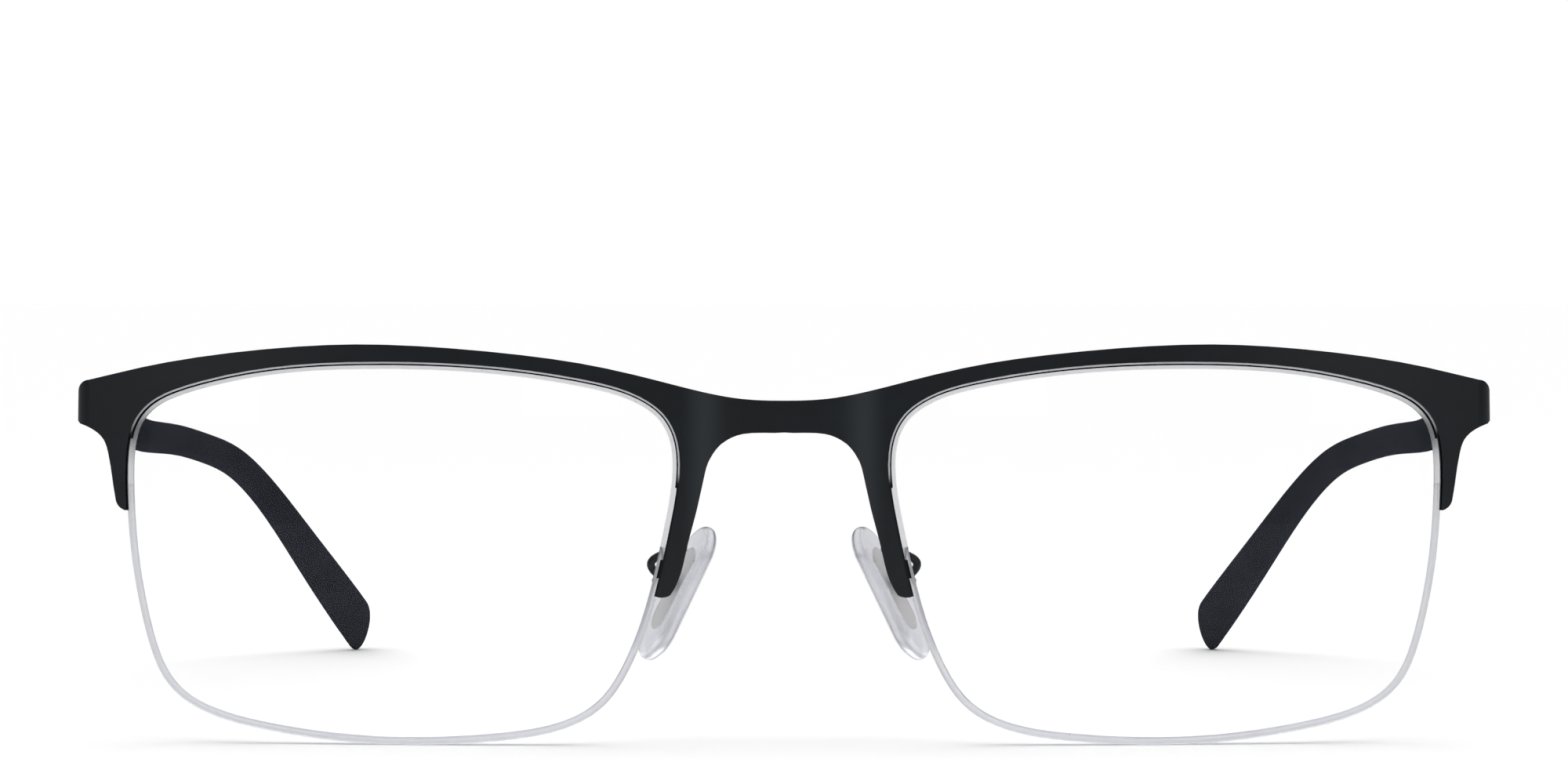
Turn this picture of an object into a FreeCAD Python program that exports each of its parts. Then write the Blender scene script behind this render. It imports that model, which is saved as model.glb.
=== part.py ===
import FreeCAD, Part
import math
import os
from functools import lru_cache
from FreeCAD import Vector

# Half rim eyeglasses, millimetres. They stand open on a table: +Z is up, the wearer looks along -Y,
# +X is the wearer's left. The left side is built and mirrored. The origin is on the table, under the
# middle of the whole pair.

# Lenses
lens_width = 54.8
lens_height = 37.6
lens_gap = 20.4
lens_radius = 130.0
lens_thick = 2.1
lens_wrap = 4.6            # degrees that each lens turns round the face
groove_width = 0.82
groove_depth = 0.78

# Metal front
sheet_thick = 0.9
sheet_lift = 0.3           # from the lens surface to the back of the sheet
bezel_width = 0.18         # polished step round the lens opening
bezel_depth = 0.35
end_reach = 5.05           # from the lens to the outer face of the endpiece
end_bend = 2.0             # outer radius where the endpiece turns back
end_return = 5.6           # length of the endpiece behind its bend
end_trim = 0.1             # shaved off the endpiece's side by its outline
end_corner = 0.9           # radius of its upper outer corner
end_heel = 0.3             # chamfer of its lower outer corner
bridge_bow = 25.0          # radius of the bridge, seen from above
bridge_lead = 0.1          # how far behind the front of the sheet the bridge's middle lies
bridge_blend = 10.0        # radius of the hollow beside the bridge

# Rim behind the sheet, and what holds the lens in it
rail_width = 0.63
rail_depth = 1.85
rail_gap = 0.12            # between the lens's edge and the rail
lip_cover = 0.34           # how far the lip laps over the lens
lip_gap = 0.05
liner_gap = 0.05
cord_dia = 0.76
cord_gap = 0.03
cord_end_gap = 0.2
anchor_length = 1.8        # lip at the cord's lower, nasal end
anchor_cover = 0.42

# Hinges
barrel_dia = 2.6
barrel_height = 3.1
knuckle_gap = 0.05
hinge_inset = 2.65         # from the endpiece's outer face to the hinge axis
hinge_setback = 4.9        # from the start of the endpiece's return to the axis
hinge_rise = 14.3          # middle of the barrel above the lens's middle
block_thick = 1.0
block_lead = 0.9           # from the start of the endpiece's return to the plate
pin_dia = 1.2
pin_gap = 0.03
pin_head_dia = 1.9
pin_head_height = 0.5
slot_width = 0.3
slot_depth = 0.25
leaf_thick = 0.8
leaf_length = 10.4

# Temples
temple_thick = 2.6
temple_start = 2.2         # from the hinge axis to the front end of the plastic
temple_reach = 129.4       # from the hinge axis to the last full section
temple_drop = 30.08        # from the barrel's middle to the middle of that section
temple_toe_in = 14.2       # how far that section lies inside the hinge axis
tip_round = 1.5
tip_slant = 0.12           # how much further the tip is rounded above than below
core_dia = 1.3

# Nose pads
pad_length = 14.6
pad_width = 7.4
pad_thick = 1.7
pad_edge = 0.6
pad_tilt = 27.0            # degrees, seen from the front
pad_splay = 20.0           # degrees, seen from above
pad_inset = 0.1            # from the lens's nasal edge, outwards, to the pad's middle
pad_setback = 7.8          # behind the lens's foremost point
pad_drop = 4.1             # below the lens's middle
insert_length = 9.0
insert_width = 3.4
insert_thick = 0.5
tang_length = 1.5
tang_thick = 0.9
box_rise = 0.6             # from the pad's middle up to its screw
box_length = 1.9
box_cheek = 0.5
box_base = 0.5
box_gap = 0.05
screw_stand = 0.8          # from the pad's back to its screw
pad_pin_dia = 0.7
pad_head_dia = 1.1
pad_head_height = 0.3
arm_dia = 0.8

# The outlines below are drawn for one front, 54.8 by 37.6 with a gap of 20.4, and stretched to the
# sizes above.
drawn_width = 54.8
drawn_height = 37.6
drawn_gap = 20.4

lens_x = (lens_gap + lens_width) / 2
lens_z = lens_height / 2 + cord_dia / 2 - (groove_depth - cord_dia / 2 - cord_gap)
front_radius = lens_radius + sheet_lift + sheet_thick
sphere = Vector(lens_x - lens_radius * math.sin(math.radians(lens_wrap)), front_radius, lens_z)
half_width = lens_gap / 2 + lens_width + end_reach
edge_count = 60            # points that carry the lens's outline to an offset

# Lens outline from its middle, outer end at +x, starting where its top is level
lens_shape = [(1.8, 18.8), (-18.3, 17.0), (-24.9, 14.5), (-25.6, 13.9), (-26.5, 2.1),
              (-22.7, -10.8), (-20.0, -14.9), (-8.9, -18.5), (13.5, -17.5), (23.1, -13.3),
              (25.7, -7.1), (27.4, 6.5), (26.0, 13.8), (20.4, 16.7)]

# Front outline, from the middle of the bridge outwards: x from the middle, height from the lens's
brow_line = [(0, 15.0), (4.0, 15.15), (8.5, 15.95), (13.0, 17.1), (19.2, 18.5), (27.0, 19.6),
             (34.5, 20.25), (42.3, 20.5), (50.1, 20.1), (57.2, 19.3), (63.5, 18.2), (68.9, 16.95)]
nose_line = [(11.15, -4.05), (10.3, -2.5), (9.5, 0.6), (8.7, 3.65), (7.85, 7.4), (7.4, 9.0),
             (6.95, 9.8), (6.2, 10.7), (5.4, 11.25), (4.6, 11.6), (3.4, 11.83), (0, 11.9)]
end_foot = 12.9            # lower end of the endpiece's outer side
lug_line = [(68.4, 12.05), (67.3, 11.1), (66.75, 9.6), (66.45, 8.0), (66.15, 6.0), (66.0, 5.2)]


def stretched(x, height):
    """Point of the front, moved from the drawn sizes to the real ones."""
    drawn_edge = drawn_gap / 2
    if x <= drawn_edge:
        wide = x * lens_gap / drawn_gap
    elif x <= drawn_edge + drawn_width:
        wide = lens_gap / 2 + (x - drawn_edge) * lens_width / drawn_width
    else:
        wide = lens_gap / 2 + lens_width + (x - drawn_edge - drawn_width)
    return Vector(wide, 0, lens_z + height * lens_height / drawn_height)


def spline(points, start=None, end=None):
    """Smooth curve through points, with unit tangents at its ends where they are given."""
    curve = Part.BSplineCurve()
    if start is None:
        curve.interpolate(Points=points)
    else:
        curve.interpolate(Points=points, InitialTangent=start, FinalTangent=end, Scale=False)
    return curve


def closed_outline(points):
    """Smooth loop that starts and ends level, at the lens's top."""
    level = Vector(-1, 0, 0)
    return spline(points + points[:1], level, level)


def lens_curve():
    wide = lens_width / drawn_width
    high = lens_height / drawn_height
    return closed_outline([Vector(lens_x + x * wide, 0, lens_z + z * high) for x, z in lens_shape])


def edge_points(offset):
    """Points round the lens, `offset` outside its edge."""
    curve = lens_curve()
    first, last = curve.FirstParameter, curve.LastParameter
    points = []
    for step in range(edge_count):
        at = first + (last - first) * step / edge_count
        along = curve.tangent(at)[0]
        out = Vector(0, 1, 0).cross(along).normalize()
        points.append(curve.value(at) + out * offset)
    return points


def prism(face, front=-12.0, back=30.0):
    """The face, in the XZ plane, as a bar along Y."""
    bar = face.extrude(Vector(0, back - front, 0))
    bar.translate(Vector(0, front, 0))
    return bar


@lru_cache
def lens_wire(offset):
    return Part.Wire(closed_outline(edge_points(offset)).toShape())


@lru_cache
def lens_prism(offset):
    return prism(Part.Face(lens_wire(offset)))


def ball(radius):
    return Part.makeSphere(radius, sphere)


def lens_ring(outside, inside, front, back):
    """Ring that follows the lens's edge, between two offsets and two depths behind its surface."""
    ring = prism(Part.makeFace([lens_wire(outside), lens_wire(inside)], "Part::FaceMakerBullseye"))
    return ring.common(ball(lens_radius - front)).cut(ball(lens_radius - back))


def above(temporal, nasal):
    """Half space above a line from one height at the lens's outer side to another at its inner."""
    reach = 200.0
    outer = lens_x + lens_width / 2
    inner = lens_x - lens_width / 2
    slope = (temporal - nasal) / (outer - inner)
    low = nasal - slope * (inner + reach)
    high = temporal + slope * (reach - outer)
    corners = [(-reach, low), (reach, high), (reach, high + reach), (-reach, low + reach)]
    wire = Part.makePolygon([Vector(x, 0, lens_z + z) for x, z in corners + corners[:1]])
    return prism(Part.Face(wire))


# Heights, from the lens's middle, at which the rim's pieces end: outer side, then inner side
rail_ends = (4.9, -2.4)
lip_ends = (11.2, 6.4)
liner_ends = (6.7, 0.4)


def sphere_depth(point, radius):
    """Y of the ball's front surface at a point's X and Z."""
    across = point.x - sphere.x
    up = point.z - sphere.z
    return sphere.y - math.sqrt(radius ** 2 - across ** 2 - up ** 2)


def arc(centre, radius, start, end):
    """Arc in the XY plane between two points, the short way round."""
    middle = ((start - centre) + (end - centre)).normalize() * radius + centre
    return Part.Arc(start, middle, end).toShape()


def plan_line(depth):
    """Right half of the sheet's plan, `depth` behind its front face, from the bridge outwards."""
    eye = Vector(sphere.x, sphere.y, 0)
    bow = Vector(0, bridge_lead + bridge_bow, 0)
    to_bow = bridge_bow + bridge_blend
    to_eye = front_radius + bridge_blend
    apart = eye - bow
    span = apart.Length
    along = (to_bow ** 2 - to_eye ** 2 + span ** 2) / (2 * span)
    aside = math.sqrt(to_bow ** 2 - along ** 2)
    unit = apart / span
    hollow = bow + unit * along + Vector(unit.y, -unit.x, 0) * aside
    side = half_width + end_trim
    bend_x = side - end_bend
    bend_y = eye.y - math.sqrt((front_radius - end_bend) ** 2 - (bend_x - eye.x) ** 2)
    bend = Vector(bend_x, bend_y, 0)

    def on(centre, radius, toward):
        return centre + (toward - centre).normalize() * radius

    middle = Vector(0, bridge_lead + depth, 0)
    leave_bow = on(bow, bridge_bow - depth, hollow)
    join_eye = on(eye, front_radius - depth, hollow)
    leave_eye = on(eye, front_radius - depth, bend + (bend - eye))
    turned = Vector(side - depth, bend_y, 0)
    far = Vector(side - depth, bend_y + end_return, 0)
    edges = [arc(bow, bridge_bow - depth, middle, leave_bow),
             arc(hollow, bridge_blend + depth, leave_bow, join_eye),
             arc(eye, front_radius - depth, join_eye, leave_eye),
             arc(bend, end_bend - depth, leave_eye, turned),
             Part.makeLine(turned, far)]
    return edges, middle, far


bend_line = sphere.y - math.sqrt((front_radius - end_bend) ** 2
                                 - (half_width + end_trim - end_bend - sphere.x) ** 2)
hinge_x = half_width - hinge_inset
hinge_y = bend_line + hinge_setback
hinge_z = lens_z + hinge_rise


def sheet_band():
    """The sheet's plan turned about the lenses' level, wider than the front's outline."""
    front_edges, front_middle, front_far = plan_line(0)
    back_edges, back_middle, back_far = plan_line(sheet_thick)
    edges = front_edges + back_edges
    edges += [Part.makeLine(front_middle, back_middle), Part.makeLine(front_far, back_far)]
    face = Part.Face(Part.Wire(Part.__sortEdges__(edges)))
    face.translate(Vector(0, 0, lens_z))
    axis = Vector(0, sphere.y, lens_z)
    below, reach = 8.0, 24.0
    face.rotate(axis, Vector(1, 0, 0), below)
    half = face.revolve(axis, Vector(1, 0, 0), -reach)
    return half


def front_outline():
    """Left half of the front seen face on, with the lens opening still filled."""
    brow = [stretched(x, z) for x, z in brow_line]
    nose = [stretched(x, z) for x, z in nose_line]
    lug = [stretched(x, z) for x, z in lug_line]
    top = Vector(half_width, 0, brow[-1].z - 0.15 - end_corner)
    shoulder = Vector(half_width - 0.3 * end_corner, 0, brow[-1].z - 0.08 - 0.4 * end_corner)
    side_end = stretched(drawn_gap / 2 + drawn_width + end_reach, end_foot)
    side_end.x = half_width
    heel = Vector(half_width - end_heel, 0, side_end.z - end_heel)
    foot = stretched(65.0, 4.1)
    foot_round = stretched(65.62, 4.45)
    inside = [stretched(62.0, 4.1), stretched(14.5, -4.2)]
    sole = stretched(12.6, -4.15)
    sole_round = stretched(11.75, -4.25)
    edges = [spline(brow, Vector(1, 0, 0), Vector(0.976, 0, -0.217)).toShape(),
             Part.Arc(brow[-1], shoulder, top).toShape(),
             Part.makeLine(top, side_end),
             Part.makeLine(side_end, heel),
             spline([heel] + lug).toShape(),
             Part.Arc(lug[-1], foot_round, foot).toShape(),
             Part.makeLine(foot, inside[0]),
             Part.makeLine(inside[0], inside[1]),
             Part.makeLine(inside[1], sole),
             Part.Arc(sole, sole_round, nose[0]).toShape(),
             spline(nose).toShape(),
             Part.makeLine(nose[-1], brow[0])]
    return Part.Face(Part.Wire(Part.__sortEdges__(edges)))


def mirrored(shape):
    return shape.mirror(Vector(0, 0, 0), Vector(1, 0, 0))


@lru_cache
def make_front_frame():
    half = prism(front_outline()).common(sheet_band())
    half = half.cut(lens_prism(-bezel_width))
    step = lens_prism(0).cut(ball(front_radius - bezel_depth))
    half = half.cut(step)
    return half.fuse(mirrored(half)).removeSplitter()


def make_eyewire():
    outside = rail_gap + rail_width
    rail = lens_ring(outside, rail_gap, -sheet_lift, rail_depth - sheet_lift)
    rail = rail.common(above(*rail_ends))
    lip = lens_ring(outside, -lip_cover, -sheet_lift, -lip_gap).common(above(*lip_ends))
    anchor_top = rail_ends[1] + anchor_length
    anchor = lens_ring(outside, -anchor_cover, -sheet_lift, -lip_gap)
    anchor = anchor.common(above(rail_ends[1], rail_ends[1])).cut(above(anchor_top, anchor_top))
    nasal_half = Part.makeBox(lens_x, 60, 60, Vector(0, -20, lens_z - 30))
    anchor = anchor.common(nasal_half)
    return rail.fuse([lip, anchor]).removeSplitter()


def make_rim_liner():
    middle = lens_thick / 2
    half = groove_width / 2 - liner_gap
    ring = lens_ring(rail_gap, -(groove_depth - liner_gap), middle - half, middle + half)
    return ring.common(above(*liner_ends))


def make_lens():
    blank = lens_prism(0).common(ball(lens_radius)).cut(ball(lens_radius - lens_thick))
    middle = lens_thick / 2
    half = groove_width / 2
    return blank.cut(lens_ring(groove_width, -groove_depth, middle - half, middle + half))


def make_nylon_cord():
    """Round cord in the groove, along the part of the lens that the rim leaves free."""
    inset = groove_depth - cord_gap - cord_dia / 2
    radius = lens_radius - lens_thick / 2
    points = edge_points(-inset)
    slope = (liner_ends[0] - liner_ends[1]) / lens_width

    def below_liner(point):
        return point.z - lens_z < liner_ends[1] + slope * (point.x - lens_x + lens_width / 2)

    free = [below_liner(point) for point in points]
    start = next(i for i in range(len(free)) if free[i] and not free[i - 1]) - 1
    route = []
    for step in range(sum(free) + 2):
        point = points[(start + step) % len(points)]
        route.append(Vector(point.x, sphere_depth(point, radius), point.z))
    path = spline(route)
    along = path.tangent(path.FirstParameter)[0]
    section = Part.Wire(Part.makeCircle(cord_dia / 2, route[0], along))
    cord = Part.Wire(path.toShape()).makePipeShell([section], True, True)
    return cord.cut(above(*[end - cord_end_gap for end in liner_ends]))


knuckle_height = (barrel_height - 2 * knuckle_gap) / 3
barrel_base = hinge_z - barrel_height / 2


def knuckle_base(index):
    return barrel_base + index * (knuckle_height + knuckle_gap)


def hinge_point(z):
    return Vector(hinge_x, hinge_y, z)


def make_hinge_block():
    """Plate soldered inside the endpiece, with the outer two knuckles."""
    inside = half_width + end_trim - sheet_thick
    plate_x = inside - block_thick
    plate_y = hinge_y - hinge_setback + block_lead
    plate_end = hinge_y - barrel_dia / 2
    block = Part.makeBox(block_thick, plate_end - plate_y, barrel_height,
                         Vector(plate_x, plate_y, barrel_base))
    for index in (0, 2):
        base = knuckle_base(index)
        ring = Part.makeCylinder(barrel_dia / 2, knuckle_height, hinge_point(base))
        web = Part.makeBox(inside - hinge_x, hinge_y - plate_y - 1.0, knuckle_height,
                           Vector(hinge_x, plate_y + 1.0, base))
        block = block.fuse([ring, web])
    bore = Part.makeCylinder(pin_dia / 2, barrel_height, hinge_point(barrel_base))
    sink = Part.makeCylinder(pin_head_dia / 2, pin_head_height,
                             hinge_point(barrel_base + barrel_height - pin_head_height))
    return block.cut(bore).cut(sink).removeSplitter()


def make_hinge_screw():
    shank = Part.makeCylinder(pin_dia / 2, barrel_height - pin_head_height, hinge_point(barrel_base))
    head = Part.makeCylinder(pin_head_dia / 2, pin_head_height,
                             hinge_point(barrel_base + barrel_height - pin_head_height))
    slot = Part.makeBox(pin_head_dia, slot_width, slot_depth,
                        Vector(hinge_x - pin_head_dia / 2, hinge_y - slot_width / 2,
                               barrel_base + barrel_height - slot_depth))
    return shank.fuse(head).cut(slot).removeSplitter()


# Temple sections: share of the way from hinge to tip, share of the toe-in, share of the drop, height
temple_sections = [(0.0, 0.058, 0.037, 4.5), (0.045, 0.082, 0.082, 3.9), (0.27, 0.145, 0.147, 3.3),
                   (0.54, 0.21, 0.229, 3.45), (0.665, 0.29, 0.305, 3.8), (0.745, 0.40, 0.410, 4.2),
                   (0.838, 0.565, 0.585, 5.1), (0.93, 0.80, 0.815, 6.25), (1.0, 1.0, 1.0, 6.7)]


def temple_points():
    """Middle of each temple section."""
    first = temple_start
    points = []
    for share, inward, down, _ in temple_sections:
        y = hinge_y + first + share * (temple_reach - first)
        points.append(Vector(hinge_x - inward * temple_toe_in, y, hinge_z - down * temple_drop))
    return points


def temple_path():
    return spline(temple_points())


def temple_section(centre, along, height, thick):
    across = along.cross(Vector(0, 0, 1)).normalize()
    up = across.cross(along).normalize()
    ellipse = Part.Ellipse(centre + up * (height / 2), centre + across * (thick / 2), centre)
    return Part.Wire(ellipse.toShape())


def make_temple_arm():
    points = temple_points()
    path = temple_path()
    wires = []
    for point, (_, _, _, height) in zip(points, temple_sections):
        along = path.tangent(path.parameter(point))[0]
        wires.append(temple_section(point, along, height, temple_thick))
    arm = Part.makeLoft(wires, True, False)
    end = points[-1]
    height = temple_sections[-1][3]
    up = along.cross(Vector(0, 0, 1)).normalize().cross(along)
    cap = [wires[-1]]
    for reach, tall in ((0.45, 0.93), (0.8, 0.78), (0.95, 0.6), (0.995, 0.42)):
        thick = temple_thick * math.sqrt(1 - reach ** 2)
        centre = end + along * (tip_round * reach) - up * ((1 - tall) * height * tip_slant)
        cap.append(temple_section(centre, along, height * tall, thick))
    arm = arm.fuse(Part.makeLoft(cap, True, False))
    return arm.cut(make_temple_core())


@lru_cache
def make_temple_core():
    """Knuckle, leaf and the wire inside the plastic."""
    base = knuckle_base(1)
    top = base + knuckle_height
    points = temple_points()
    leaf_x = points[0].x - leaf_thick / 2
    ring = Part.makeCylinder(barrel_dia / 2, knuckle_height, hinge_point(base))
    bore = Part.makeCylinder(pin_dia / 2 + pin_gap, knuckle_height, hinge_point(base))
    path = temple_path()
    leaf_end = hinge_y + leaf_length
    deep = path.parameter(Vector(points[1].x, leaf_end, points[1].z))
    wire_start = path.value(deep)
    corners = [(hinge_y, base), (hinge_y, top), (hinge_y + temple_start + 1.2, top),
               (leaf_end, wire_start.z + 0.9), (leaf_end, wire_start.z - 0.9),
               (hinge_y + temple_start + 0.6, base - 0.9),
               (hinge_y + temple_start + 0.4, base)]
    outline = Part.makePolygon([Vector(leaf_x, y, z) for y, z in corners + corners[:1]])
    leaf = Part.Face(outline).extrude(Vector(leaf_thick, 0, 0))
    route = [path.value(deep)]
    steps = 8
    stop = path.parameter(points[-3])
    for step in range(1, steps + 1):
        route.append(path.value(deep + (stop - deep) * step / steps))
    wire_path = spline(route)
    section = Part.Wire(Part.makeCircle(core_dia / 2, route[0],
                                        wire_path.tangent(wire_path.FirstParameter)[0]))
    wire = Part.Wire(wire_path.toShape()).makePipeShell([section], True, True)
    return ring.fuse([leaf, wire]).cut(bore).removeSplitter()


def pad_frame():
    """Middle of the pad, and its directions: to the front, up along it, and to the nose."""
    tilt = math.radians(pad_tilt)
    splay = math.radians(pad_splay)
    up = Vector(-math.sin(tilt), 0, math.cos(tilt))
    level = Vector(-math.cos(tilt), 0, -math.sin(tilt))
    nose = level * math.cos(splay) + Vector(0, math.sin(splay), 0)
    front = up.cross(nose)
    middle = Vector(lens_gap / 2 + pad_inset, sphere.y - lens_radius + pad_setback, lens_z - pad_drop)
    return middle, front, up, nose


def placed(shape):
    """Moves a pad piece, built at the origin with x to the front, y up and z to the nose."""
    middle, front, up, nose = pad_frame()
    turn = FreeCAD.Matrix(front.x, up.x, nose.x, middle.x,
                          front.y, up.y, nose.y, middle.y,
                          front.z, up.z, nose.z, middle.z,
                          0, 0, 0, 1)
    return shape.transformed(turn)


pad_back = -pad_thick / 2
screw_level = pad_back - screw_stand


def insert_plate():
    across = insert_width
    long = insert_length - across
    plate = Part.makeBox(across, long, insert_thick, Vector(-across / 2, -long / 2, pad_back))
    for end in (-1, 1):
        plate = plate.fuse(Part.makeCylinder(across / 2, insert_thick,
                                             Vector(0, end * long / 2, pad_back)))
    return plate.removeSplitter()


def make_nose_pad():
    """Soft D-section pad, narrower at its top, with a pocket for the insert."""
    top = pad_width * 0.42
    low = pad_width * 0.5
    straight = (pad_length - top - low) / 2
    corners = [Vector(-top, straight, 0), Vector(0, straight + top, 0), Vector(top, straight, 0),
               Vector(low, -straight, 0), Vector(0, -straight - low, 0), Vector(-low, -straight, 0)]
    edges = [Part.Arc(corners[0], corners[1], corners[2]).toShape(),
             Part.makeLine(corners[2], corners[3]),
             Part.Arc(corners[3], corners[4], corners[5]).toShape(),
             Part.makeLine(corners[5], corners[0])]
    face = Part.Face(Part.Wire(edges))
    face.translate(Vector(0, 0, pad_back))
    pad = face.extrude(Vector(0, 0, pad_thick))
    pad = pad.makeFillet(pad_edge, pad.Edges)
    return placed(pad.cut(insert_plate()))


def make_pad_insert():
    tang_round = box_length / 2 - 0.2
    stem = Part.makeBox(tang_thick, 2 * tang_round, screw_stand,
                        Vector(-tang_thick / 2, box_rise - tang_round, screw_level))
    end = Part.makeCylinder(tang_round, tang_thick, Vector(-tang_thick / 2, box_rise, screw_level),
                            Vector(1, 0, 0))
    bore = Part.makeCylinder(pad_pin_dia / 2 + pin_gap, tang_thick * 2,
                             Vector(-tang_thick, box_rise, screw_level), Vector(1, 0, 0))
    return placed(insert_plate().fuse([stem, end]).cut(bore).removeSplitter())


def box_size():
    half = tang_thick / 2 + box_gap
    mouth = pad_back - 0.3
    floor = screw_level - (box_length / 2 - 0.2) - box_gap
    return half, mouth, floor


def make_pad_box():
    half, mouth, floor = box_size()
    wide = 2 * (half + box_cheek)
    base = floor - box_base
    outer = Part.makeBox(wide, box_length, mouth - base,
                         Vector(-wide / 2, box_rise - box_length / 2, base))
    slot = Part.makeBox(2 * half, box_length, mouth - floor,
                        Vector(-half, box_rise - box_length / 2, floor))
    bore = Part.makeCylinder(pad_pin_dia / 2, wide,
                             Vector(-wide / 2, box_rise, screw_level), Vector(1, 0, 0))
    return placed(outer.cut(slot).cut(bore))


def make_pad_screw():
    half, _, _ = box_size()
    wide = 2 * (half + box_cheek)
    shank = Part.makeCylinder(pad_pin_dia / 2, wide, Vector(-wide / 2, box_rise, screw_level),
                              Vector(1, 0, 0))
    head = Part.makeCylinder(pad_head_dia / 2, pad_head_height,
                             Vector(wide / 2, box_rise, screw_level), Vector(1, 0, 0))
    return placed(shank.fuse(head).removeSplitter())


def make_pad_arm():
    """Wire from the back of the nasal arm, round the lens's edge, to the pad's box."""
    middle, _, up, nose = pad_frame()
    _, _, floor = box_size()
    end = middle + up * box_rise + nose * (floor - box_base)
    root = Vector(lens_gap / 2 - 0.15, 0, lens_z + 0.3)
    root.y = sphere_depth(root, lens_radius + sheet_lift + sheet_thick / 2)
    behind = sheet_thick / 2 + sheet_lift + lens_thick + 1.0
    clear = Vector(root.x + 0.15, root.y + behind, root.z)
    route = [root, clear,
             clear + Vector(1.3, 1.1, -0.4),
             end - nose * 1.15 + up * 0.5,
             end]
    path = spline(route, Vector(0, 1, 0), nose)
    section = Part.Wire(Part.makeCircle(arm_dia / 2, root, Vector(0, 1, 0)))
    arm = Part.Wire(path.toShape()).makePipeShell([section], True, True)
    return arm.cut(make_front_frame())


sided = {"eyewire": make_eyewire, "rim_liner": make_rim_liner, "lens": make_lens,
         "nylon_cord": make_nylon_cord, "hinge_block": make_hinge_block,
         "hinge_screw": make_hinge_screw, "temple_core": make_temple_core,
         "temple_arm": make_temple_arm, "pad_arm": make_pad_arm, "pad_box": make_pad_box,
         "pad_screw": make_pad_screw, "pad_insert": make_pad_insert, "nose_pad": make_nose_pad}


def main():
    shapes = {"front_frame": make_front_frame()}
    for name, make in sided.items():
        left = make()
        shapes[name + "_left"] = left
        shapes[name + "_right"] = mirrored(left)
    whole = Part.makeCompound(list(shapes.values())).optimalBoundingBox(False, False)
    to_origin = Vector(0, -(whole.YMin + whole.YMax) / 2, -whole.ZMin)
    os.makedirs("parts", exist_ok=True)
    for name, shape in shapes.items():
        shape.translate(to_origin)
        shape.exportStep(f"parts/{name}.step")
        print(name, "solids", len(shape.Solids), "volume", round(shape.Volume, 2))
    print("moved by", to_origin)


main()
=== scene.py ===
import bmesh
import bpy
import math
from mathutils import Matrix, Vector


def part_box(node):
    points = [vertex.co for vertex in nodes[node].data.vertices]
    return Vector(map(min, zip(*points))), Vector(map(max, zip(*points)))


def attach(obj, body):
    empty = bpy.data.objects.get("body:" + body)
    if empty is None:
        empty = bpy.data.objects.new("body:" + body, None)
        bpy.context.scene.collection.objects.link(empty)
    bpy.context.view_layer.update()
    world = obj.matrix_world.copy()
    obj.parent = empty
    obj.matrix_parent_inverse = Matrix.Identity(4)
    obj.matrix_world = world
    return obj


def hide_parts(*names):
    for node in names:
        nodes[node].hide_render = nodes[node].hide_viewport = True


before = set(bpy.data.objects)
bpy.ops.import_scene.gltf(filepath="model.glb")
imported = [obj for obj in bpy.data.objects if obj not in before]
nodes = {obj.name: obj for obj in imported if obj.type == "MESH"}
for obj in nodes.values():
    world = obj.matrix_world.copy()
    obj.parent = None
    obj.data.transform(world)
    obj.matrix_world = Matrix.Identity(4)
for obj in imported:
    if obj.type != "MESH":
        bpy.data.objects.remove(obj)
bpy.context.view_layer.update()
millimetre = 0.001
sides = {"left": 1, "right": -1}
print("frame loaded:", len(nodes), "pieces")


# One value in a material. Maths on it adds the nodes.
class Signal:
    def __init__(self, finish, socket):
        self.finish = finish
        self.socket = socket

    def maths(self, operation, first, second=0.0):
        return self.finish.add("ShaderNodeMath", {"operation": operation}, {0: first, 1: second})

    def __add__(self, other):
        return self.maths("ADD", self, other)

    def __radd__(self, other):
        return self.maths("ADD", other, self)

    def __sub__(self, other):
        return self.maths("SUBTRACT", self, other)

    def __rsub__(self, other):
        return self.maths("SUBTRACT", other, self)

    def __mul__(self, other):
        return self.maths("MULTIPLY", self, other)

    def __rmul__(self, other):
        return self.maths("MULTIPLY", other, self)

    def __truediv__(self, other):
        return self.maths("DIVIDE", self, other)

    def __rtruediv__(self, other):
        return self.maths("DIVIDE", other, self)

    def __abs__(self):
        return self.maths("ABSOLUTE", self)

    # 0 below start, 1 above end, smooth between
    def ramp(self, start, end):
        return self.finish.add("ShaderNodeMapRange", {"interpolation_type": "SMOOTHSTEP"},
                               {"Value": self, "From Min": start, "From Max": end})


def tinted(colour, share):
    return tuple(value * share for value in colour)


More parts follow.
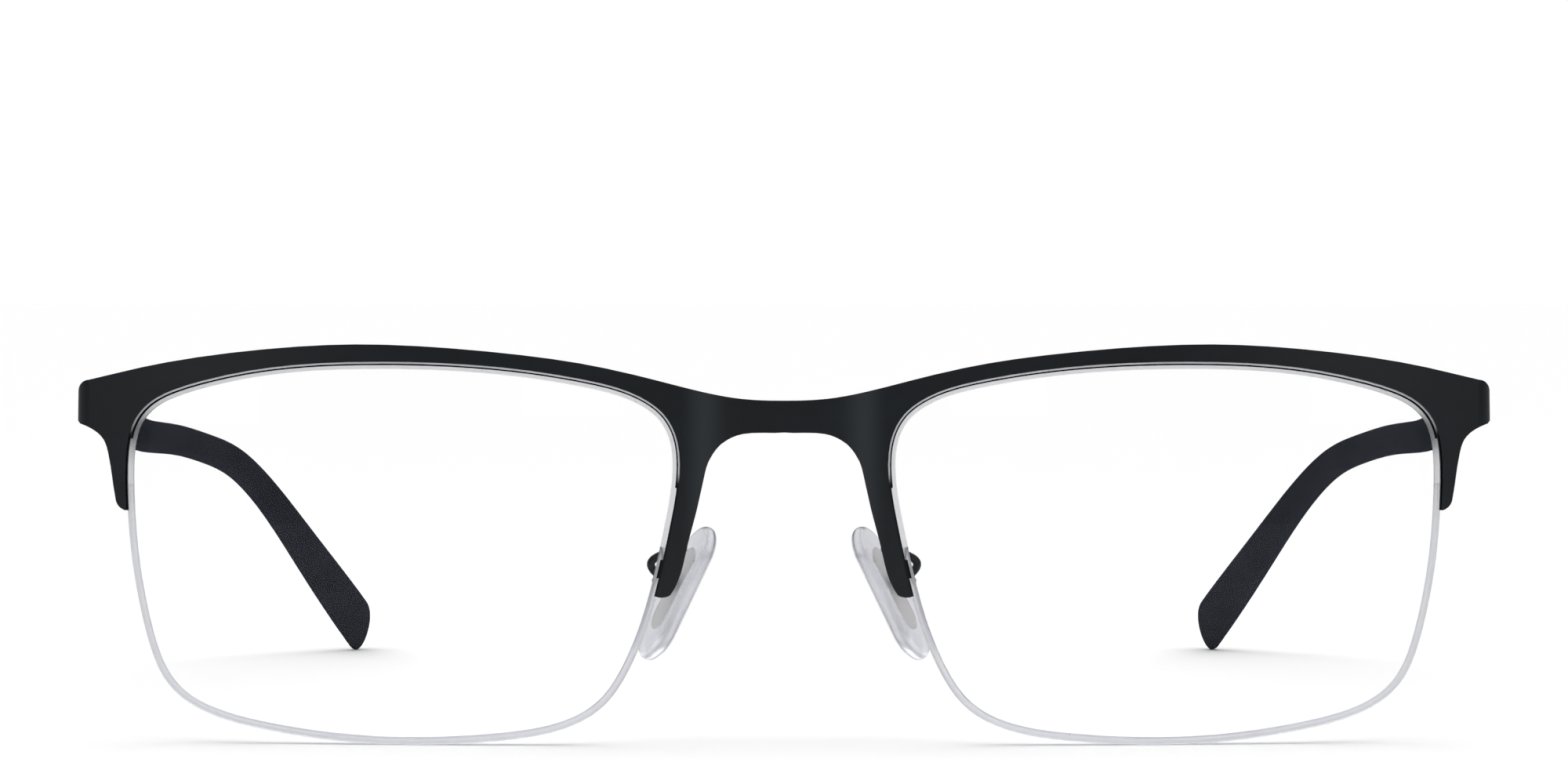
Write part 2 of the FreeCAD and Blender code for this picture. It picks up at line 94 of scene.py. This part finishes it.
# A node tree of a material or of the world, filled one node at a time
class Finish:
    def __init__(self, name, world=False):
        library = bpy.data.worlds if world else bpy.data.materials
        self.block = library.new(name)
        self.block.use_nodes = True
        self.tree = self.block.node_tree
        self.tree.nodes.clear()

    def add(self, kind, settings=None, values=None, output=0):
        node = self.tree.nodes.new(kind)
        for name, value in (settings or {}).items():
            setattr(node, name, value)
        for name, value in (values or {}).items():
            if isinstance(value, Signal):
                self.tree.links.new(value.socket, node.inputs[name])
            elif isinstance(value, tuple) and len(value) == 3 and node.inputs[name].type == "RGBA":
                node.inputs[name].default_value = (*value, 1.0)
            else:
                node.inputs[name].default_value = value
        return Signal(self, node.outputs[output]) if node.outputs else None

    def place(self):
        return self.add("ShaderNodeTexCoord", output="Object")

    # Noise in the piece's own place, its grains that many to a metre along x, y and z
    def grain(self, perMetre, detail=2.0, roughness=0.5):
        moved = self.add("ShaderNodeMapping", {"vector_type": "POINT"},
                         {"Vector": self.place(), "Scale": perMetre})
        return self.add("ShaderNodeTexNoise", {"noise_dimensions": "3D"},
                        {"Vector": moved, "Scale": 1.0, "Detail": detail, "Roughness": roughness})

    def blend(self, factor, first, second):
        return self.add("ShaderNodeMix", {"data_type": "RGBA", "clamp_factor": True},
                        {0: factor, 6: first, 7: second}, output=2)

    def bump(self, height, strength, distance):
        return self.add("ShaderNodeBump", None,
                        {"Height": height, "Strength": strength, "Distance": distance})

    def surface(self, values):
        return self.add("ShaderNodeBsdfPrincipled", None, values)

    # One fine grain that the colour, the roughness and the relief all follow
    def mottled(self, values, more):
        grain = self.grain(values["grain"], values["detail"])
        first, second = [tinted(values["colour"], share) for share in values["mottle"]]
        return self.surface(
            {"Base Color": self.blend(grain, first, second),
             "Roughness": values["roughness"] + values["uneven"] * (grain - 0.5),
             "Normal": self.bump(grain, values["bump"], values["relief"]), **more})

    # How far a point is from a centre, and how squarely its face looks along that line
    def roundCentre(self, centre):
        spot = self.add("ShaderNodeNewGeometry", output="Position")
        face = self.add("ShaderNodeNewGeometry", output="Normal")
        out = self.add("ShaderNodeVectorMath", {"operation": "SUBTRACT"}, {0: spot, 1: centre})
        reach = self.add("ShaderNodeVectorMath", {"operation": "LENGTH"}, {0: out}, output="Value")
        ray = self.add("ShaderNodeVectorMath", {"operation": "NORMALIZE"}, {0: out})
        square = self.add("ShaderNodeVectorMath", {"operation": "DOT_PRODUCT"}, {0: ray, 1: face},
                          output="Value")
        return reach, abs(square)

    # Clear stuff that lets the lamps through, so that its shadow stays faint
    def clear(self, shader, shadowColour):
        lamp = self.add("ShaderNodeLightPath", output="Is Shadow Ray")
        through = self.add("ShaderNodeBsdfTransparent", None, {"Color": shadowColour})
        return self.add("ShaderNodeMixShader", None, {0: lamp, 1: shader, 2: through})

    def done(self, shader):
        kind = "ShaderNodeOutputMaterial"
        if isinstance(self.block, bpy.types.World):
            kind = "ShaderNodeOutputWorld"
        self.add(kind, None, {"Surface": shader})
        return self.block


def dress(material, *names):
    for name in names:
        for slot in nodes[name].material_slots:
            slot.material = material


def bothSides(name):
    return [name + "_" + side for side in sides]


# The camera stands in front, a little above the brow, and looks slightly down
camera = {
    "distance": 0.5104,        # from the foremost point of the front
    "rise": 0.00466,           # above the brow's top
    "pitch": 1.0432,           # degrees down
    "focalLength": 120.0,
    "sensor": 36.0,
    "near": 0.01,
    "far": 100.0,
}
frontLow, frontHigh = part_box("front_frame")
lensData = bpy.data.cameras.new("camera")
lensData.lens = camera["focalLength"]
lensData.sensor_width = camera["sensor"]
lensData.clip_start = camera["near"]
lensData.clip_end = camera["far"]
cameraObject = bpy.data.objects.new("camera", lensData)
cameraObject.location = (0.0, frontLow[1] - camera["distance"], frontHigh[2] + camera["rise"])
cameraObject.rotation_euler = (math.radians(90.0 - camera["pitch"]), 0.0, 0.0)
bpy.context.collection.objects.link(cameraObject)
bpy.context.scene.camera = cameraObject
bpy.context.scene.view_settings.view_transform = "Standard"
print("camera set")


# White table and white walls. What shines off the pieces is dim, so that the dark front stays dark
studio = {
    "tableWidth": 60.0,
    "tableColour": (0.92, 0.92, 0.92),
    "tableMottle": 0.995,
    "tableGrain": (900.0, 900.0, 900.0),
    "tableRoughness": 0.7,
    "background": 1.05,
    "overhead": 0.45,          # what clear pieces show above the walls
    "backWall": 0.30,
    "frontWall": 0.10,
    "wallTurn": (-0.6, 0.8),   # from the front wall to the back wall
    "wallTop": (0.25, 0.65),   # from the walls to the ceiling
    "skyStrength": 2.86,
    "skyAngle": 1.7,           # radians across the soft light overhead
    "skyTilt": 10.0,           # degrees that it leans from behind
    "skyPlace": (0.0, 0.2, 0.8),
}


def makeTable():
    half = studio["tableWidth"] / 2
    work = bmesh.new()
    corners = [work.verts.new((x, y, 0.0)) for x, y in
               ((-half, -half), (half, -half), (half, half), (-half, half))]
    work.faces.new(corners)
    mesh = bpy.data.meshes.new("table")
    work.to_mesh(mesh)
    work.free()
    table = bpy.data.objects.new("table", mesh)
    bpy.context.collection.objects.link(table)
    finish = Finish("whiteTable")
    soft = finish.grain(studio["tableGrain"])
    shade = finish.blend(soft, tinted(studio["tableColour"], studio["tableMottle"]),
                         studio["tableColour"])
    table.data.materials.append(finish.done(finish.surface(
        {"Base Color": shade, "Roughness": studio["tableRoughness"],
         "Specular IOR Level": 0.0})))


def makeWalls():
    finish = Finish("studioWalls", world=True)
    way = finish.add("ShaderNodeTexCoord", output="Generated")
    along = finish.add("ShaderNodeSeparateXYZ", None, {0: way}, output="Y")
    rise = abs(finish.add("ShaderNodeSeparateXYZ", None, {0: way}, output="Z"))
    wall = along.ramp(*studio["wallTurn"]) * (studio["backWall"] - studio["frontWall"])
    wall = wall + studio["frontWall"]
    fall = studio["background"] - studio["overhead"]
    seen = studio["background"] - rise.ramp(*studio["wallTop"]) * fall
    direct = finish.add("ShaderNodeLightPath", output="Is Camera Ray")
    through = finish.add("ShaderNodeLightPath", output="Is Transmission Ray")
    strength = through * seen + (1 - through) * wall
    strength = direct * studio["background"] + (1 - direct) * strength
    shader = finish.add("ShaderNodeBackground", None,
                        {"Color": (1.0, 1.0, 1.0), "Strength": strength})
    bpy.context.scene.world = finish.done(shader)


def makeSky():
    lamp = bpy.data.lights.new("softSky", "SUN")
    lamp.energy = studio["skyStrength"]
    lamp.angle = studio["skyAngle"]
    sky = bpy.data.objects.new("softSky", lamp)
    sky.rotation_euler = (math.radians(-studio["skyTilt"]), 0.0, 0.0)
    sky.location = studio["skyPlace"]
    bpy.context.collection.objects.link(sky)


# Soft boxes: place, size and power
softBoxes = {
    "leftBox": {"place": (-0.30, -0.42, 0.25), "size": (0.12, 0.3), "power": 0.25},
    "rightBox": {"place": (0.30, -0.42, 0.25), "size": (0.12, 0.3), "power": 0.25},
    "frontBox": {"place": (0.0, -0.42, 0.16), "size": (0.07, 0.12), "power": 0.035},
}
softBoxAim = (0.0, -0.03, 0.02)


def makeSoftBoxes():
    for name, values in softBoxes.items():
        lamp = bpy.data.lights.new(name, "AREA")
        lamp.shape = "RECTANGLE"
        lamp.size, lamp.size_y = values["size"]
        lamp.energy = values["power"]
        box = bpy.data.objects.new(name, lamp)
        box.location = values["place"]
        aim = Vector(softBoxAim) - Vector(values["place"])
        box.rotation_euler = aim.to_track_quat("-Z", "Y").to_euler()
        bpy.context.collection.objects.link(box)


makeTable()
makeWalls()
makeSky()
makeSoftBoxes()
print("table, walls and lights set")


# Both lenses are cut from balls of this radius, and the metal front follows the same centre
lensBall = {"radius": 0.130, "wrap": 4.6}


def ballCentre(side):
    low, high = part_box("lens_" + side)
    reach = lensBall["radius"] * math.sin(math.radians(lensBall["wrap"]))
    middle = (low[0] + high[0]) / 2
    level = (low[2] + high[2]) / 2
    return (middle - sides[side] * reach, low[1] + lensBall["radius"], level)


frontMetal = {
    "colour": (0.0028, 0.0048, 0.0070),
    "lighter": (0.0034, 0.0062, 0.0090),
    "roughness": 0.42,
    "shine": 0.27,
    "streaks": (130.0, 130.0, 5200.0),
    "streakUneven": 0.08,      # how far the streaks shift the roughness
    "streakBump": 0.25,
    "streakHeight": 0.000004,
    "patches": (260.0, 260.0, 700.0),
    "patchRange": (0.35, 0.7),
    "patchUneven": 0.05,
    "paintedHighlightBand": (0.0054, 0.0078, 0.0102),     # painted highlight: paler colour where the sheet bends beside the bridge, in place of a reflection
    # colour of the painted highlight beside the bridge
    "paintedHighlightColour": (0.0195, 0.0240, 0.0286),
    "bezelLevel": 0.00085,     # the polished step above the ball, bare metal with a painted highlight in its colour
    "bezelEdge": (0.00007, 0.00012),       # half its width, sharp and faded
    "bezelFacing": (0.6, 0.8),
    "bezelReach": (0.0003, 0.0005),        # past the lens, sharp and faded
    "bezelFade": 0.0015,
    "bezelEnds": (0.0304, 0.0256),         # heights where it fades, outer side and inner side
    # pale bare-metal colour of the step, made lighter to paint in the reflection the polished
    # chamfer would catch
    "bezelMetalAndPaintedHighlight": (0.92, 0.93, 0.96),
    "bezelRoughness": 0.3,
    "bezelMetallic": 0.35,
}


# Polished step round one lens opening: 1 on it, 0 off it
def bezel(finish, side):
    values = frontMetal
    low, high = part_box("lens_" + side)
    inner, outer = sorted((abs(low[0]), abs(high[0])))
    reach, square = finish.roundCentre(ballCentre(side))
    level = abs(reach - (lensBall["radius"] + values["bezelLevel"]))
    step = (1 - level.ramp(*values["bezelEdge"])) * square.ramp(*values["bezelFacing"])
    place = finish.add("ShaderNodeNewGeometry", output="Position")
    across = finish.add("ShaderNodeSeparateXYZ", None, {0: place}, output="X") * sides[side]
    height = finish.add("ShaderNodeSeparateXYZ", None, {0: place}, output="Z")
    sharp, faded = values["bezelReach"]
    step = step * across.ramp(inner - faded, inner - sharp)
    step = step * (1 - across.ramp(outer + sharp, outer + faded))
    outerEnd, innerEnd = values["bezelEnds"]
    end = innerEnd + (across - inner) * ((outerEnd - innerEnd) / (outer - inner))
    return step * (height - end).ramp(0.0, values["bezelFade"])


def makeFrontMetal():
    values = frontMetal
    finish = Finish("satinBlackMetal")
    streaks = finish.grain(values["streaks"], 3.0, 0.6)
    patches = finish.grain(values["patches"])
    edge = bezel(finish, "left") + bezel(finish, "right")
    place = finish.add("ShaderNodeNewGeometry", output="Position")
    across = abs(finish.add("ShaderNodeSeparateXYZ", None, {0: place}, output="X"))
    # painted highlight: a band of paler colour beside the bridge, set by distance across, standing
    # in for light off the bend
    inner, middle, outer = values["paintedHighlightBand"]
    paintedHighlightBand = across.ramp(inner, middle) * (1 - across.ramp(middle, outer))
    colour = finish.blend(patches.ramp(*values["patchRange"]), values["colour"], values["lighter"])
    colour = finish.blend(paintedHighlightBand, colour, values["paintedHighlightColour"])
    # the bevel: bare metal whose pale colour is partly a painted highlight
    colour = finish.blend(edge, colour, values["bezelMetalAndPaintedHighlight"])
    roughness = values["roughness"] + values["streakUneven"] * (streaks - 0.5)
    roughness = roughness + values["patchUneven"] * (patches - 0.5)
    roughness = roughness * (1 - edge) + values["bezelRoughness"] * edge
    relief = finish.bump(streaks, values["streakBump"], values["streakHeight"])
    return finish.done(finish.surface(
        {"Base Color": colour, "Roughness": roughness, "Metallic": edge * values["bezelMetallic"],
         "Specular IOR Level": values["shine"], "Normal": relief}))


# In each mottled finish: the colour's two shares, and how far roughness and relief follow the grain
rimMetal = {
    "colour": (0.005, 0.0055, 0.007),
    "mottle": (1.0, 1.5),
    "roughness": 0.4,
    "uneven": 0.1,
    "grain": (900.0, 900.0, 900.0),
    "detail": 3.0,
    "bump": 0.1,
    "relief": 0.000004,
    "shine": 0.15,
}


def makeRimMetal():
    finish = Finish("darkRimMetal")
    return finish.done(finish.mottled(rimMetal, {"Specular IOR Level": rimMetal["shine"]}))


lensGlass = {
    "colour": (1.0, 1.0, 1.0),
    "edgeColour": (0.58, 0.585, 0.62),
    "edgeRoughness": 0.25,
    "edgeUneven": 0.1,
    "edgeMottle": 0.94,
    "edgeGrain": (2500.0, 2500.0, 2500.0),
    "edgeMatte": 0.5,          # how far the ground edge hides what is behind it
    "matteRoughness": 0.8,
    "matteShine": 0.1,
    "facing": (0.5, 0.8),      # from the ground edge to the polished faces
    "ior": 1.5,
    "coating": (0.10, 0.10, 0.11),         # what the coating lets shine off the faces
    "shadow": (0.66, 0.66, 0.68),
}


def makeLensGlass(side):
    values = lensGlass
    finish = Finish("clearLens" + side.capitalize())
    reach, square = finish.roundCentre(ballCentre(side))
    ground = 1 - square.ramp(*values["facing"])
    fine = finish.grain(values["edgeGrain"])
    edgeColour = finish.blend(fine, tinted(values["edgeColour"], values["edgeMottle"]),
                              values["edgeColour"])
    shader = finish.surface(
        {"Base Color": finish.blend(ground, values["colour"], edgeColour),
         "Roughness": ground * (values["edgeRoughness"] + values["edgeUneven"] * (fine - 0.5)),
         "Transmission Weight": 1.0, "IOR": values["ior"],
         "Specular Tint": values["coating"]})
    matte = finish.surface({"Base Color": edgeColour, "Roughness": values["matteRoughness"],
                            "Specular IOR Level": values["matteShine"]})
    hidden = ground * values["edgeMatte"]
    shader = finish.add("ShaderNodeMixShader", None, {0: hidden, 1: shader, 2: matte})
    return finish.done(finish.clear(shader, values["shadow"]))


nylon = {
    "mottle": (0.92, 1.0),
    "roughness": 0.30,
    "uneven": 0.1,
    "grain": (1800.0, 1800.0, 1800.0),
    "detail": 2.0,
    "bump": 0.1,
    "relief": 0.000005,
    "ior": 1.53,
}
nylonKinds = {
    "liner": {"colour": (0.82, 0.825, 0.85), "clear": 0.92},
    "cord": {"colour": (0.82, 0.825, 0.86), "clear": 0.80},
}


def makeNylon(name):
    values = {**nylon, **nylonKinds[name]}
    finish = Finish(name + "Nylon")
    return finish.done(finish.mottled(
        values, {"Transmission Weight": values["clear"], "IOR": values["ior"]}))


templePlastic = {
    "colour": (0.0170, 0.0193, 0.0255),
    "lighter": (0.0205, 0.0232, 0.0300),
    "patches": (120.0, 60.0, 220.0),
    "patchRange": (0.3, 0.7),
    "roughness": 0.75,
    "uneven": 0.06,
    "shine": 0.0,
    "grain": (14000.0, 14000.0, 14000.0),
    "bump": 0.3,
    "relief": 0.000001,
}


def makeTemplePlastic():
    values = templePlastic
    finish = Finish("navyTemplePlastic")
    fine = finish.grain(values["grain"])
    wide = finish.grain(values["patches"])
    colour = finish.blend(wide.ramp(*values["patchRange"]), values["colour"], values["lighter"])
    return finish.done(finish.surface(
        {"Base Color": colour,
         "Roughness": values["roughness"] + values["uneven"] * (wide - 0.5),
         "Specular IOR Level": values["shine"],
         "Normal": finish.bump(fine, values["bump"], values["relief"])}))


steel = {
    "mottle": (0.8, 1.0),
    "uneven": 0.12,
    "grain": (2500.0, 9000.0, 9000.0),
    "detail": 3.0,
    "bump": 0.15,
    "relief": 0.000004,
}
steelKinds = {
    "screw": {"colour": (0.50, 0.50, 0.50), "roughness": 0.25},
    "core": {"colour": (0.42, 0.42, 0.43), "roughness": 0.33},
    "box": {"colour": (0.55, 0.54, 0.51), "roughness": 0.28},
}


def makeSteel(name):
    finish = Finish(name + "Steel")
    return finish.done(finish.mottled({**steel, **steelKinds[name]}, {"Metallic": 1.0}))


padWire = {
    "colour": (0.004, 0.0045, 0.005),
    "mottle": (1.0, 1.6),
    "roughness": 0.35,
    "uneven": 0.1,
    "grain": (1500.0, 1500.0, 1500.0),
    "detail": 3.0,
    "bump": 0.15,
    "relief": 0.000005,
    "shine": 0.15,
}


def makePadWire():
    finish = Finish("blackPadWire")
    return finish.done(finish.mottled(padWire, {"Specular IOR Level": padWire["shine"]}))


insertPlastic = {
    "colour": (0.95, 0.94, 0.94),
    "mottle": (0.85, 1.0),
    "roughness": 0.35,
    "uneven": 0.1,
    "grain": (2200.0, 2200.0, 2200.0),
    "detail": 2.0,
    "bump": 0.2,
    "relief": 0.00001,
    "clear": 0.6,
}


def makeInsertPlastic():
    finish = Finish("greyPadInsert")
    return finish.done(finish.mottled(
        insertPlastic, {"Transmission Weight": insertPlastic["clear"]}))


dress(makeFrontMetal(), "front_frame")
dress(makeRimMetal(), *bothSides("eyewire"), *bothSides("hinge_block"))
for lensSide in sides:
    dress(makeLensGlass(lensSide), "lens_" + lensSide)
dress(makeNylon("liner"), *bothSides("rim_liner"))
dress(makeNylon("cord"), *bothSides("nylon_cord"))
dress(makeSteel("screw"), *bothSides("hinge_screw"), *bothSides("pad_screw"))
dress(makeSteel("core"), *bothSides("temple_core"))
dress(makeSteel("box"), *bothSides("pad_box"))
dress(makeTemplePlastic(), *bothSides("temple_arm"))
dress(makePadWire(), *bothSides("pad_arm"))
dress(makeInsertPlastic(), *bothSides("pad_insert"))
print("metal, plastic and glass finished")


cordEnd = {
    "length": 0.0002,
    "weld": 0.0000001,
    "facesUp": 0.98,           # how squarely a cut face looks up
    "below": 0.001,            # no cut face lies further under the lens's middle
}


# The last bit of each cord, up to the liner: its cut faces drawn upwards
def makeCordEnd(side, material):
    source = nodes["nylon_cord_" + side].data
    level = ballCentre(side)[2] - cordEnd["below"]
    work = bmesh.new()
    work.from_mesh(source)
    bmesh.ops.remove_doubles(work, verts=work.verts, dist=cordEnd["weld"])
    others = [face for face in work.faces
              if face.normal.z < cordEnd["facesUp"] or face.calc_center_median().z < level]
    bmesh.ops.delete(work, geom=others, context="FACES")
    made = bmesh.ops.extrude_face_region(work, geom=work.faces[:], use_keep_orig=True)
    moved = [item for item in made["geom"] if isinstance(item, bmesh.types.BMVert)]
    bmesh.ops.translate(work, verts=moved, vec=(0.0, 0.0, cordEnd["length"]))
    bmesh.ops.recalc_face_normals(work, faces=work.faces)
    mesh = bpy.data.meshes.new("cordEnd_" + side)
    work.to_mesh(mesh)
    work.free()
    mesh.materials.clear()
    mesh.materials.append(material)
    piece = bpy.data.objects.new("cordEnd_" + side, mesh)
    bpy.context.collection.objects.link(piece)
    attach(piece, "front")


for endSide in sides:
    makeCordEnd(endSide, nodes["nylon_cord_" + endSide].material_slots[0].material)
print("cord ends made")


# Soft nose pads, built lying flat and then set against the nose. Sizes in millimetres, degrees
nosePad = {
    "length": 14.6,
    "width": 7.4,
    "thick": 1.7,
    "topWidth": 0.84,          # of the width
    "rounding": 0.7,
    "crown": 0.35,             # how much lower the nose side is at its rim than in its middle
    "pocket": (3.4, 9.0, 0.5),
    "pocketGap": 0.03,
    "tilt": 27.0,
    "splay": 20.0,
    "shift": (-0.16, 0.0, 0.27),           # from the middle of its box to its own middle
    "faceShares": (0.15, 0.3, 0.45, 0.6, 0.72, 0.84, 0.93),
    "crownPower": 2.2,
    "backShares": (0.35, 0.7, 0.95),
    "rimTurn": 15,             # degrees between the rings of the rounded rim
    "lip": 0.06,
    "lipEdge": 0.02,
    "steps": 72,               # points round the outline
    "colour": (0.70, 0.705, 0.75),
    "mottle": (0.97, 1.0),
    "roughness": 0.22,
    "uneven": 0.06,
    "grain": (900.0, 900.0, 900.0),
    "detail": 3.0,
    "bump": 0.1,
    "relief": 0.00003,
    "ior": 1.41,
    "shadow": (0.85, 0.85, 0.88),
}


# Outline of a pad or pocket: two half circles and straight sides, inset by a distance
def padOutline(topRadius, lowRadius, length, inset=0.0):
    count = nosePad["steps"]
    straight = (length - topRadius - lowRadius) / 2
    points = []
    for step in range(count):
        angle = 2 * math.pi * step / count
        radius = topRadius if math.sin(angle) >= 0 else lowRadius
        shift = straight if math.sin(angle) >= 0 else -straight
        points.append(((radius - inset) * math.cos(angle),
                       (radius - inset) * math.sin(angle) + shift))
    return points


def between(first, second, share):
    return [(a[0] + (b[0] - a[0]) * share, a[1] + (b[1] - a[1]) * share)
            for a, b in zip(first, second)]


def padRings():
    values = nosePad
    half = values["thick"] / 2
    topRadius = values["width"] * values["topWidth"] / 2
    lowRadius = values["width"] / 2
    rounding = values["rounding"]
    middle = [(0.0, 0.0)] * values["steps"]
    shoulder = padOutline(topRadius, lowRadius, values["length"], rounding)
    rings = []
    for share in values["faceShares"]:                            # the crowned face
        drop = values["crown"] * share ** values["crownPower"]
        rings.append((between(middle, shoulder, share), half - drop))
    front = half - values["crown"]
    tall = (front + half) / 2
    centre = (front - half) / 2
    for turn in range(0, 181, values["rimTurn"]):                 # the rounded rim
        angle = math.radians(turn)
        inset = rounding * (1 - math.sin(angle))
        ring = padOutline(topRadius, lowRadius, values["length"], inset)
        rings.append((ring, centre + tall * math.cos(angle)))
    wide, long, deep = values["pocket"]
    gap = values["pocketGap"]
    mouth = padOutline(wide / 2 + gap, wide / 2 + gap, long + 2 * gap)
    floor = deep + gap - half
    for share in values["backShares"]:                            # the flat back
        rings.append((between(shoulder, mouth, share), -half))
    lip = values["lip"]
    edge = values["lipEdge"]
    for inset, level in ((0.0, -half + edge), (0.0, -half + lip), (0.0, floor - lip),
                         (edge, floor - edge), (lip, floor)):     # the pocket's wall
        ring = padOutline(wide / 2 + gap, wide / 2 + gap, long + 2 * gap, inset)
        rings.append((ring, level))
    rings.append((between(ring, middle, 0.5), floor))
    return rings, half, floor


def makeNosePad(side):
    values = nosePad
    rings, top, floor = padRings()
    work = bmesh.new()
    made = [[work.verts.new((x, y, z)) for x, y in ring] for ring, z in rings]
    count = values["steps"]
    for first, second in zip(made, made[1:]):
        for step in range(count):
            after = (step + 1) % count
            work.faces.new((first[step], second[step], second[after], first[after]))
    crownTip = work.verts.new((0.0, 0.0, top))
    pocketMiddle = work.verts.new((0.0, 0.0, floor))
    for step in range(count):
        after = (step + 1) % count
        work.faces.new((crownTip, made[0][step], made[0][after]))
        work.faces.new((pocketMiddle, made[-1][after], made[-1][step]))
    tilt = math.radians(values["tilt"])
    splay = math.radians(values["splay"])
    up = Vector((-math.sin(tilt), 0.0, math.cos(tilt)))
    level = Vector((-math.cos(tilt), 0.0, -math.sin(tilt)))
    nose = level * math.cos(splay) + Vector((0.0, math.sin(splay), 0.0))
    front = up.cross(nose)
    turn = Matrix((front, up, nose)).transposed()
    low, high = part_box("nose_pad_left")
    middle = (low + high) / (2 * millimetre) + Vector(values["shift"])
    for vertex in work.verts:
        spot = turn @ vertex.co + middle
        spot.x *= sides[side]
        vertex.co = spot * millimetre
    bmesh.ops.recalc_face_normals(work, faces=work.faces)
    mesh = bpy.data.meshes.new("softNosePad_" + side)
    work.to_mesh(mesh)
    work.free()
    for face in mesh.polygons:
        face.use_smooth = True
    pad = bpy.data.objects.new("softNosePad_" + side, mesh)
    bpy.context.collection.objects.link(pad)
    finish = Finish("clearSilicone" + side.capitalize())
    shader = finish.mottled(values, {"Transmission Weight": 1.0, "IOR": values["ior"]})
    pad.data.materials.append(finish.done(finish.clear(shader, values["shadow"])))
    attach(pad, "pad_" + side)
    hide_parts("nose_pad_" + side)


for padSide in sides:
    makeNosePad(padSide)
print("nose pads made")
